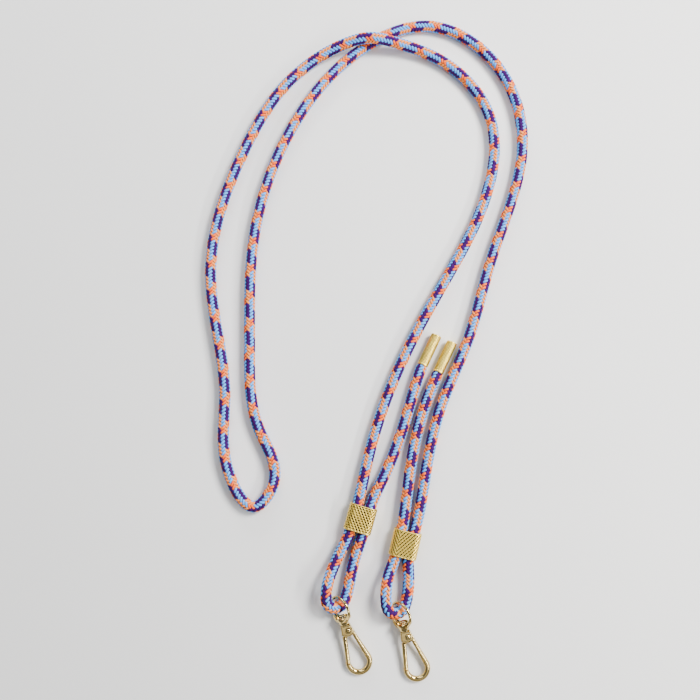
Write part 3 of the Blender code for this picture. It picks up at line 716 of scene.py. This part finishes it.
def make_yarns(name, line, numbers, forward_lay, half_width, material):
    """One piece of several yarns, each a closed strip, with its maps laid in bands."""
    count = int(line.length / STITCH * RINGS_A_STITCH) + 1
    sides = len(yarn_section(half_width))
    bands_each = MAP_BANDS // len(numbers)
    rings_a_band = math.ceil((count - 1) / bands_each)
    total = bands_each * len(numbers)
    verts, faces, lay, bake = [], [], [], []
    for order, number in enumerate(numbers):
        rings, run = yarn_rings(line, number, forward_lay, half_width, count)
        start = len(verts) * count * sides
        verts.append(rings.reshape(-1, 3))
        k = np.arange(count - 1)[:, None]
        s = np.arange(sides)[None, :]
        a = start + k * sides + s
        b = start + k * sides + (s + 1) % sides
        quad = np.stack([a, b, b + sides, a + sides], axis=-1)
        shape = quad.shape[:2]
        faces.append(quad.reshape(-1, 4))

        shift = LAY_SHIFT * number + (LAY_SHIFT_FORWARD if forward_lay else 0.0)
        places = run * MM_IN_A_METRE + shift
        low = np.broadcast_to(s / sides, shape)
        high = low + 1 / sides
        near = np.broadcast_to(places[:-1, None], shape)
        far = np.broadcast_to(places[1:, None], shape)
        lay.append(corner_places((low, near), (high, near), (high, far), (low, far)))

        band = k // rings_a_band
        along = (k - band * rings_a_band) / rings_a_band
        beyond = along + 1 / rings_a_band
        band = order * bands_each + band
        foot = (band + MAP_ACROSS[0] + MAP_ACROSS[1] * low) / total
        head = (band + MAP_ACROSS[0] + MAP_ACROSS[1] * high) / total
        left = np.broadcast_to(MAP_ALONG[0] + MAP_ALONG[1] * along, shape)
        right = np.broadcast_to(MAP_ALONG[0] + MAP_ALONG[1] * beyond, shape)
        bake.append(corner_places((left, foot), (left, head), (right, head), (right, foot)))
    verts = np.vstack(verts)
    faces = np.vstack(faces)
    mesh = bpy.data.meshes.new(name)
    mesh.vertices.add(len(verts))
    mesh.vertices.foreach_set("co", verts.astype(np.float32).ravel())
    mesh.loops.add(faces.size)
    mesh.loops.foreach_set("vertex_index", faces.astype(np.int32).ravel())
    mesh.polygons.add(len(faces))
    mesh.polygons.foreach_set("loop_start", (np.arange(len(faces)) * 4).astype(np.int32))
    mesh.polygons.foreach_set("loop_total", np.full(len(faces), 4, np.int32))
    mesh.update(calc_edges=True)
    for layer_name, places in (("OFBake", bake), ("lay", lay)):
        layer = mesh.uv_layers.new(name=layer_name)
        layer.data.foreach_set("uv", np.vstack(places).astype(np.float32).ravel())
    mesh.uv_layers.active = mesh.uv_layers["OFBake"]
    mesh.validate()
    mesh.shade_smooth()
    mesh.materials.append(material)
    piece = bpy.data.objects.new(name, mesh)
    bpy.context.scene.collection.objects.link(piece)
    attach(piece, "strap")
    return piece


def make_core(line, material):
    """The cord's core, a tube that fills the braid, coloured near black as painted shade in the gaps
    between the yarns.
    """
    curve = bpy.data.curves.new("cord_core", "CURVE")
    curve.dimensions = "3D"
    curve.bevel_depth = CORE_RADIUS
    curve.bevel_resolution = 3
    curve.use_fill_caps = True
    curve.twist_mode = "Z_UP"
    left_mouth, right_mouth = line.marks[1], line.marks[-2]
    shoulders = [left_mouth, left_mouth + CORD_SHOULDER, right_mouth, right_mouth - CORD_SHOULDER]
    run = np.unique(np.r_[np.linspace(0.0, line.length, CORE_ROWS), shoulders])
    places = line.at(run)
    radii = line.thickness(run)
    spline = curve.splines.new("POLY")
    spline.points.add(len(run) - 1)
    for point, place, radius in zip(spline.points, places, radii):
        point.co = (*place, 1.0)
        point.radius = radius
    curve.materials.append(material)
    core = bpy.data.objects.new("cord_core", curve)
    bpy.context.scene.collection.objects.link(core)
    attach(core, "strap")
    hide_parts("cord")
    return core


def make_cord():
    line = CordLine()
    orange = yarn_finish("orange_yarn", ORANGE, DEEP_ORANGE)
    peach = yarn_finish("peach_yarn", PEACH, DEEP_PEACH)
    blue = yarn_finish("blue_yarn", BLUE, DEEP_BLUE)
    purple = yarn_finish("purple_yarn", PURPLE, DEEP_PURPLE)
    core = make_core(line, core_finish())
    groups = [
        ("yarns_purple", (0, 1, 2, 3), False, PURPLE_HALF_WIDTH, purple),
        ("yarns_peach", (4, 5, 6, 7), False, YARN_HALF_WIDTH, peach),
        ("yarns_orange", (1, 2), True, YARN_HALF_WIDTH, orange),
        ("yarns_blue_first", (0, 3, 4), True, YARN_HALF_WIDTH, blue),
        ("yarns_blue_second", (5, 6, 7), True, YARN_HALF_WIDTH, blue),
    ]
    yarns = [make_yarns(name, line, *settings) for name, *settings in groups]


# Knurled skins of the sliders and the end caps

def rounded_box_line(width, height, radius):
    """Length of a rounded rectangle, and its point and normal at a distance along it."""
    flat, tall = width - 2 * radius, height - 2 * radius
    quarter = math.pi * radius / 2
    total = 2 * (flat + tall) + 4 * quarter
    legs = [("line", flat), ("arc", quarter), ("line", tall), ("arc", quarter)] * 2

    def at(distance):
        distance %= total
        place = Vector((-flat / 2, height / 2))
        heading = 0.0
        for kind, length in legs:
            step = min(distance, length)
            if kind == "line":
                place = place + Vector((math.cos(heading), math.sin(heading))) * step
            else:
                turn = step / radius
                centre = place + Vector((math.sin(heading), -math.cos(heading))) * radius
                heading -= turn
                place = centre - Vector((math.sin(heading), -math.cos(heading))) * radius
            distance -= step
            if distance <= 1e-9:
                break
        return place, Vector((-math.sin(heading), math.cos(heading)))

    return total, at


def circle_line(radius):
    def at(distance):
        angle = distance / radius
        normal = Vector((math.sin(angle), math.cos(angle)))
        return normal * radius, normal
    return 2 * math.pi * radius, at


def saw(value):
    """One on whole numbers, falling straight to nought halfway between them."""
    return abs(2 * (value - math.floor(value)) - 1)


def knurled_skin(name, line, length, bare, knurl, fineness, depth, grooves=None):
    """A sheet rolled round an outline in the XZ plane, its length along Y, pressed with pits.

    Its bare ends stay smooth. grooves tells, for a place on the outline, how far the pits
    join into grooves that lean one way, or below nought the other."""
    around, at = line
    columns, rows, ridge, shift_round, shift_along = knurl
    nothing_selected()
    cells_round, cells_along = int(columns * 2 * fineness), int(rows * 2 * fineness)
    bpy.ops.mesh.primitive_grid_add(x_subdivisions=cells_round, y_subdivisions=cells_along, size=1.0)
    skin = named(name)
    pit_depths = []
    for vert in skin.data.vertices:
        u, v = vert.co.x + 0.5, vert.co.y + 0.5
        place, normal = at(u * around)
        y = (v - 0.5) * (length - 2 * bare)
        turn, rise = u * columns + shift_round, v * rows + shift_along
        a, b = turn + rise, turn - rise
        pit = min(saw(a), saw(b))
        lean = grooves(place) if grooves else 0.0
        groove = abs(lean) * saw(b if lean > 0 else a) + (1 - abs(lean)) * pit
        fade = min(1.0, min(v, 1 - v) * rows * KNURL_FADE)
        press = max(0.0, groove - ridge) / (1 - ridge) * fade
        place = place - normal * depth * press
        vert.co = (place.x, y, place.y)
        pit_depths.append(press)
    # Pit depths, which the gold finish darkens as grime and painted shade
    layer = skin.data.attributes.new("depth", "FLOAT", "POINT")
    layer.data.foreach_set("value", pit_depths)
    editing(skin)
    bpy.ops.mesh.select_all(action="SELECT")
    bpy.ops.mesh.remove_doubles(threshold=0.001)
    done_editing()
    return skin


def drawn_from_rim(skin, end, steps):
    """Draws the open rim at one end out, in, or back along Y through the given moves.

    Each step is (y, where), and where gives the new place of a rim point."""
    editing(skin)
    far = end * max(end * v.co.y for v in skin.data.vertices)
    pick(skin, "verts", lambda v: abs(v.co.y - far) < 0.001 and v.is_boundary)
    for y, where in steps:
        bpy.ops.mesh.extrude_edges_move()
        bm = bmesh.from_edit_mesh(skin.data)
        for vert in bm.verts:
            if vert.select:
                x, z = where(vert.co)
                vert.co = (x, y, z)
        bmesh.update_edit_mesh(skin.data)
    done_editing()


def toward_axis(amount):
    """Moves a rim point of a round piece straight toward the axis."""
    def where(place):
        flat = Vector((place.x, place.z))
        flat *= (flat.length - amount) / flat.length
        return flat
    return where


def onto_circle(radius):
    def where(place):
        return Vector((place.x, place.z)).normalized() * radius
    return where


def as_it_is(place):
    return place.x, place.z


def onto_bore(place):
    """The nearest way in from the slider's outline to the two cords' shared bore."""
    half = CORD_PITCH / 2
    x, z = place.x, place.z
    if abs(x) <= half:
        return x, math.copysign(BORE_RADIUS, z)
    away = Vector((x - math.copysign(half, x), z)).normalized() * BORE_RADIUS
    return math.copysign(half, x) + away.x, away.y


def inset_box(amount):
    """Moves a rim point of the slider straight in from its rounded outline."""
    flat_x = SLIDER_WIDTH / 2 - SLIDER_CORNER
    flat_z = SLIDER_THICKNESS / 2 - SLIDER_CORNER

    def where(place):
        core_x = max(-flat_x, min(flat_x, place.x))
        core_z = max(-flat_z, min(flat_z, place.z))
        away = Vector((place.x - core_x, place.z - core_z)).normalized() * amount
        return place.x - away.x, place.z - away.y
    return where


def one_way_grooves(place):
    """Deeper one way on the broad faces, and the other way round the left side."""
    on_left_side = place.x < -SLIDER_WIDTH / 2 + SLIDER_CORNER * 0.9
    return -GROOVE_SHARE if on_left_side else GROOVE_SHARE


def slider_piece(name, knurl, depth, grooves):
    """A rounded block with a knurled skin, bored for two cords side by side."""
    line = rounded_box_line(SLIDER_WIDTH, SLIDER_THICKNESS, SLIDER_CORNER)
    skin = knurled_skin(name, line, SLIDER_LENGTH, SLIDER_RIM, knurl, SLIDER_FINENESS, depth, grooves)
    half = SLIDER_LENGTH / 2
    for end in (1, -1):
        drawn_from_rim(skin, end, [
            (end * (half - SLIDER_END_BEVEL), as_it_is),
            (end * (half - SLIDER_END_BEVEL * 0.35), inset_box(SLIDER_END_BEVEL * 0.3)),
            (end * half, inset_box(SLIDER_END_BEVEL * 0.7)),
            (end * half, onto_bore),
            (end * (half - 2.0), as_it_is),
        ])
    editing(skin)
    pick(skin, "verts", lambda v: v.is_boundary)
    bpy.ops.mesh.bridge_edge_loops()
    done_editing()
    outward_faces(skin)
    smoothed(skin, 50.0)
    return skin


def cap_piece(name):
    """A cup with a finely knurled skin, its mouth at y = 0 and its closed end rounded."""
    skin = knurled_skin(name, circle_line(CAP_RADIUS), CAP_LENGTH, CAP_BARE, CAP_KNURL, CAP_FINENESS,
                        CAP_KNURL_DEPTH)
    skin.data.transform(Matrix.Translation((0.0, CAP_LENGTH / 2, 0.0)))
    drawn_from_rim(skin, 1, [
        (CAP_LENGTH - 0.6, as_it_is),
        (CAP_LENGTH - 0.3, toward_axis(0.1)),
        (CAP_LENGTH - 0.08, toward_axis(0.3)),
        (CAP_LENGTH, toward_axis(0.35)),
        (CAP_LENGTH, onto_circle(1.2)),
        (CAP_LENGTH - 0.12, onto_circle(0.9)),
    ])
    drawn_from_rim(skin, -1, [
        (0.25, as_it_is),
        (0.0, toward_axis(0.12)),
        (0.0, onto_circle(CAP_BORE + 0.06)),
        (0.15, onto_circle(CAP_BORE)),
        (CAP_DEPTH, onto_circle(CAP_BORE)),
    ])
    editing(skin)
    pick(skin, "verts", lambda v: v.is_boundary and v.co.y > CAP_LENGTH - 0.2)
    bpy.ops.mesh.edge_face_add()
    pick(skin, "verts", lambda v: v.is_boundary)
    bpy.ops.mesh.edge_face_add()
    done_editing()
    outward_faces(skin)
    smoothed(skin, 50.0)
    return skin


# Swivel eye, hook and gate, along X from the eye's centre

def bell_piece():
    """The eye's foot: cheeks that widen from the wire's two sides down to the collar."""
    inside, outside = EYE_RADIUS - EYE_WIRE * 0.72, EYE_RADIUS + EYE_WIRE * 0.72
    rows = [(inside * math.sin(a), inside * math.cos(a)) for a in np.radians([76, 64, 52, 40, 30, 22])]
    rows += [(outside * math.sin(a), outside * math.cos(a)) for a in np.radians([21, 30, 40, 50, 58, 66])]
    bell = turned("bell", rows, 64)
    reach = EYE_RADIUS * 2
    flare = [(-reach, CHEEK_START), (CHEEK_AT, CHEEK_START), (CHEEK_END, COLLAR_RADIUS),
             (CHEEK_END, reach), (-reach, reach)]
    tools = []
    for side in (1, -1):
        tool = plate("flare", [(x, y * side) for x, y in flare], -reach, reach)
        tool.data.transform(Matrix.Rotation(math.pi / 2, 4, "X"))
        tools.append((tool, "DIFFERENCE"))
    cut_or_joined(bell, tools)
    return bell


def eye_piece(name):
    """A wire ring with its cheeks and collar, the collar hollowed as a cup and bored."""
    nothing_selected()
    bpy.ops.mesh.primitive_torus_add(major_segments=96, minor_segments=20, major_radius=EYE_RADIUS,
                                     minor_radius=EYE_WIRE, location=(0.0, 0.0, 0.0))
    ring = named(name)
    lip = COLLAR_START - CUP_RISE
    profile = [
        (lip, CUP_RADIUS - 0.7), (lip + 0.08, CUP_RADIUS - 0.25), (lip + 0.3, CUP_RADIUS),
        (lip + 1.0, CUP_RADIUS), (COLLAR_START, CUP_RADIUS - 0.25), (COLLAR_START + 0.9, COLLAR_RADIUS),
        (COLLAR_START + 1.5, 3.15), (COLLAR_END - 0.7, 2.9), (COLLAR_END - 0.25, 2.72),
        (COLLAR_END - 0.06, 2.58), (COLLAR_END, 2.4),
    ]
    collar = turned("collar", profile, 48)
    bore = turned("bore", [(COLLAR_START - 0.85, STEM_BORE), (COLLAR_END + 0.85, STEM_BORE)], 32)
    hollow = [(lip - 0.5, CUP_RADIUS - 0.75), (lip + 0.9, CUP_RADIUS - 0.95), (COLLAR_START, 2.4),
              (COLLAR_START + 0.6, 1.7)]
    cup = turned("cup", hollow, 32)
    bell = bell_piece()
    cut_or_joined(ring, [(bell, "UNION"), (collar, "UNION"), (cup, "DIFFERENCE"), (bore, "DIFFERENCE")])
    outward_faces(ring)
    smoothed(ring, 40.0)
    return ring


def gate_line():
    """Where the gate's bar starts, near the rivet, and where it meets the nose."""
    nose = Vector((-math.sin(NOSE_LEAN), -math.cos(NOSE_LEAN), 0.0))
    end = BOW_CENTRE + BOW_RADIUS * nose
    along = Vector((-math.cos(NOSE_LEAN), math.sin(NOSE_LEAN), 0.0))
    length = (end.x - RIVET.x - GATE_START) / math.cos(NOSE_LEAN)
    return end + along * length, end


def arm_foot():
    """Where the arm runs into the bow."""
    return BOW_CENTRE + BOW_RADIUS * Vector((-math.sin(ARM_LEAN), math.cos(ARM_LEAN), 0))


def arm_outer(x):
    """The arm's outer edge at a place along the hook."""
    foot = arm_foot()
    return foot.y - (foot.x - x) * math.tan(ARM_LEAN) + ARM_BAR / math.cos(ARM_LEAN)


def bar_along(name, stations, sides):
    """A round bar drawn through (x, y, radius) rows in the XY plane, ring by ring."""
    nothing_selected()
    bpy.ops.mesh.primitive_circle_add(vertices=sides, radius=1.0, fill_type="NGON",
                                      rotation=(0.0, math.pi / 2, 0.0))
    bar = named(name)
    bpy.ops.object.transform_apply(location=True, rotation=True, scale=True)
    centres = [Vector((x, y, 0.0)) for x, y, _ in stations]
    last = Matrix.Identity(4)
    editing(bar)
    bpy.ops.mesh.select_all(action="SELECT")
    for k, (x, y, radius) in enumerate(stations):
        if k:
            bpy.ops.mesh.extrude_region_move()
        along = centres[min(k + 1, len(centres) - 1)] - centres[max(k - 1, 0)]
        turn = Matrix.Rotation(math.atan2(along.y, along.x), 4, "Z")
        now = Matrix.Translation(centres[k]) @ turn @ Matrix.Scale(radius, 4)
        move = now @ last.inverted()
        bm = bmesh.from_edit_mesh(bar.data)
        for vert in bm.verts:
            if vert.select:
                vert.co = move @ vert.co
        bmesh.update_edit_mesh(bar.data)
        last = now
    done_editing()
    outward_faces(bar)
    return bar


def head_outline():
    wing_end = RIVET.x + GATE_START - JOINT_GAP - BOW_BAR / 2
    boss_end = RIVET.x + BOSS_RADIUS
    outline = [(SHOULDER, -HEAD_LEFT), (wing_end, -HEAD_LEFT - HEAD_WING)]
    first = -math.acos((wing_end - RIVET.x) / BOSS_RADIUS)
    outline += arc(RIVET, BOSS_RADIUS, first, BOSS_END, 28)
    tip = boss_end + ARM_BAR
    outline += [(tip, arm_outer(tip) - ARM_BAR), (boss_end, arm_outer(boss_end)),
                (SHOULDER, arm_outer(SHOULDER))]
    return outline


def gate_neck():
    start, end = gate_line()
    return start + (end - start).normalized() * GATE_NECK - RIVET


def slot_outline():
    """The slot in the head, with room for the gate's eyelet to turn."""
    radius = GATE_EYE + JOINT_GAP
    neck = gate_neck()
    taper = math.asin((GATE_EYE - GATE_NECK) / neck.length)
    side = math.atan2(neck.y, neck.x) + SLOT_SWING - taper
    right = RIVET.x + 2 * BOSS_RADIUS
    below = RIVET.y - 4 * BOSS_RADIUS
    outline = arc(RIVET, radius, math.pi + SLOT_BACK, math.pi / 2 + side, 20)
    x, y = outline[-1]
    outline += [(right, y + (right - x) * math.tan(side)), (right, below), (outline[0][0], below)]
    return outline


def joint_outline(middle, side):
    """All that lies on one side of the slanting joint between the nose and the gate."""
    slant = Vector((math.cos(JOINT_CUT), math.sin(JOINT_CUT), 0))
    away = Vector((-slant.y, slant.x, 0)) * side
    near = middle - away * JOINT_GAP / 2
    reach = BOW_BAR * 2.2
    low, high = near - slant * reach, near + slant * reach
    corners = [low, high, high + away * reach * 1.6, low + away * reach * 1.6]
    return [(c.x, c.y) for c in corners]


def stem_piece():
    top = COLLAR_START - 0.3
    rows = [(top - 1.6, 1.0), (top - 1.45, 1.4), (top - 1.12, 1.8), (top - 0.7, 1.97), (top - 0.3, 2.0),
            (top - 0.08, 1.93), (top, 1.8), (top, STEM_RADIUS), (SHOULDER + 1.1, STEM_RADIUS)]
    return turned("stem", rows, 40)


def frame_piece(name):
    """Stem, slotted head, arm, bow and nose in one piece."""
    head = plate(name, head_outline(), -HEAD_HALF, HEAD_HALF)
    rims_rounded(head, HEAD_BEVEL, 4)
    foot = arm_foot()
    drop = ARM_BAR / math.cos(ARM_LEAN)
    stations = []
    for x in np.linspace(SHOULDER + ARM_BAR, (SHOULDER + foot.x) / 2, 4):
        stations.append((x, arm_outer(x) - drop, ARM_BAR))
    stations += [(x, y, BOW_BAR) for x, y in
                 arc(BOW_CENTRE, BOW_RADIUS, math.pi / 2 + ARM_LEAN, -math.pi / 2 - NOSE_LEAN, 49)]
    start, end = gate_line()
    tip = end + (start - end).normalized() * BOW_BAR * 2
    stations.append((tip.x, tip.y, BOW_BAR))
    bar = bar_along("bar", stations, 28)
    slot = plate("slot", slot_outline(), -SLOT_HALF, SLOT_HALF)
    hole = plate("hole", circle(RIVET, RIVET_RADIUS + JOINT_GAP, 32), -CUT_REACH, CUT_REACH)
    rim = circle(RIVET, RECESS_RADIUS, 40)
    upper = plate("upper", rim, RECESS_FLOOR, CUT_REACH)
    lower = plate("lower", rim, -CUT_REACH, -RECESS_FLOOR)
    lap = plate("lap", joint_outline(end, 1), -CUT_REACH, CUT_REACH)
    joined = [(bar, "UNION"), (stem_piece(), "UNION")]
    cut_or_joined(head, joined + [(tool, "DIFFERENCE") for tool in (slot, hole, upper, lower, lap)])
    outward_faces(head)
    smoothed(head, 32.0)
    return head


def tongue_outline():
    """The gate's flat eyelet, drawn out to the foot of its bar."""
    neck = gate_neck()
    heading = math.atan2(neck.y, neck.x)
    opening = math.acos((GATE_EYE - GATE_NECK) / neck.length)
    outline = arc(neck, GATE_NECK, heading - opening, heading + opening, 16)
    return outline + arc((0, 0), GATE_EYE, heading + opening, heading + 2 * math.pi - opening, 24)


def gate_piece(name):
    """The lever: a flat eyelet round the rivet and a bar that closes the opening."""
    start, end = gate_line()
    start, end = start - RIVET, end - RIVET
    along = (end - start).normalized()
    over = end + along * GATE_BAR * 1.6
    stations = []
    for distance, radius in ((0.0, 0.95), (0.25, 1.2), (0.3, 1.3), (0.75, 1.33), (0.8, GATE_BAR)):
        spot = start + along * distance
        stations.append((spot.x, spot.y, radius))
    stations.append((over.x, over.y, GATE_BAR))
    gate = bar_along(name, stations, 28)
    tongue = plate("tongue", tongue_outline(), -SLOT_HALF + JOINT_GAP, SLOT_HALF - JOINT_GAP)
    hole = plate("hole", circle((0, 0), RIVET_RADIUS + JOINT_GAP, 32), -CUT_REACH, CUT_REACH)
    lap = plate("lap", joint_outline(end, -1), -CUT_REACH, CUT_REACH)
    cut_or_joined(gate, [(tongue, "UNION"), (hole, "DIFFERENCE"), (lap, "DIFFERENCE")])
    outward_faces(gate)
    smoothed(gate, 32.0)
    return gate


def rivet_piece(name):
    """A pin with a domed head at both ends."""
    inner = RECESS_FLOOR + JOINT_GAP
    dome = [(inner, RIVET_RADIUS), (inner, RIVET_HEAD - 0.05), (inner + 0.08, RIVET_HEAD),
            (inner + 0.3, 1.5), (inner + 0.5, 1.28), (inner + 0.66, 0.95), (inner + 0.76, 0.5),
            (inner + 0.8, 0.15)]
    rivet = turned(name, [(-x, r) for x, r in reversed(dome)] + dome, 36)
    rivet.data.transform(Matrix.Rotation(-math.pi / 2, 4, "Y"))
    smoothed(rivet, 50.0)
    return rivet


def lying(x, y, height, lean):
    """The place of a level piece: x and y in millimetres, height in metres, lean in degrees."""
    place = Matrix.Translation((x * MM, y * MM, height))
    return place @ Matrix.Rotation(-math.radians(lean), 4, "Z")


def make_sliders(material):
    knurls = {
        "left": (LEFT_KNURL, LEFT_KNURL_DEPTH, None),
        "right": (RIGHT_KNURL, RIGHT_KNURL_DEPTH, one_way_grooves),
    }
    for side, knurl in knurls.items():
        x, y, lean = SLIDERS[side]
        place = lying(x, y, SLIDER_THICKNESS / 2 * MM, lean)
        piece = slider_piece("slider_body_" + side, *knurl)
        settled(piece, place, "strap", "slider_" + side, material)


def make_caps(material):
    first = cap_piece("cap_left")
    pieces = {"left": first, "right": second_of(first, "cap_right")}
    for side, piece in pieces.items():
        x, y, lean = CAPS[side]
        settled(piece, lying(x, y, CORD_REST, lean), "strap", "end_cap_" + side, material)


def make_hooks(brass):
    first = [
        eye_piece("eye_left"),
        frame_piece("hook_left"),
        gate_piece("gate_left"),
        rivet_piece("rivet_left"),
    ]
    second = [second_of(piece, piece.name.replace("left", "right")) for piece in first]
    for side, (eye, hook, gate, rivet) in (("left", first), ("right", second)):
        x, y, lean = HOOKS[side]
        turn = Matrix.Rotation(math.radians(lean) - math.pi / 2, 4, "Z")
        pitch = Matrix.Rotation(HOOK_PITCH, 4, "Y")
        in_collar = Matrix.Translation(Vector((x, y, EYE_HEIGHT)) * MM) @ turn @ pitch
        in_eye = in_collar @ Matrix.Rotation(EYE_ROLL, 4, "X")
        at_rivet = in_collar @ Matrix.Translation(RIVET * MM)
        settled(eye, in_eye, "strap", "swivel_eye_" + side, brass)
        settled(hook, in_collar, "hook_" + side, "hook_frame_" + side, brass)
        settled(gate, at_rivet, "gate_" + side, "hook_gate_" + side, brass)
        settled(rivet, at_rivet, "hook_" + side, "gate_rivet_" + side, brass)


set_camera()
lay_floor()
set_light()
make_cord()
make_sliders(gold_finish("pale_gold", **SLIDER_GOLD))
make_caps(gold_finish("cap_gold", **CAP_GOLD))
make_hooks(gold_finish("brass", **HOOK_GOLD))
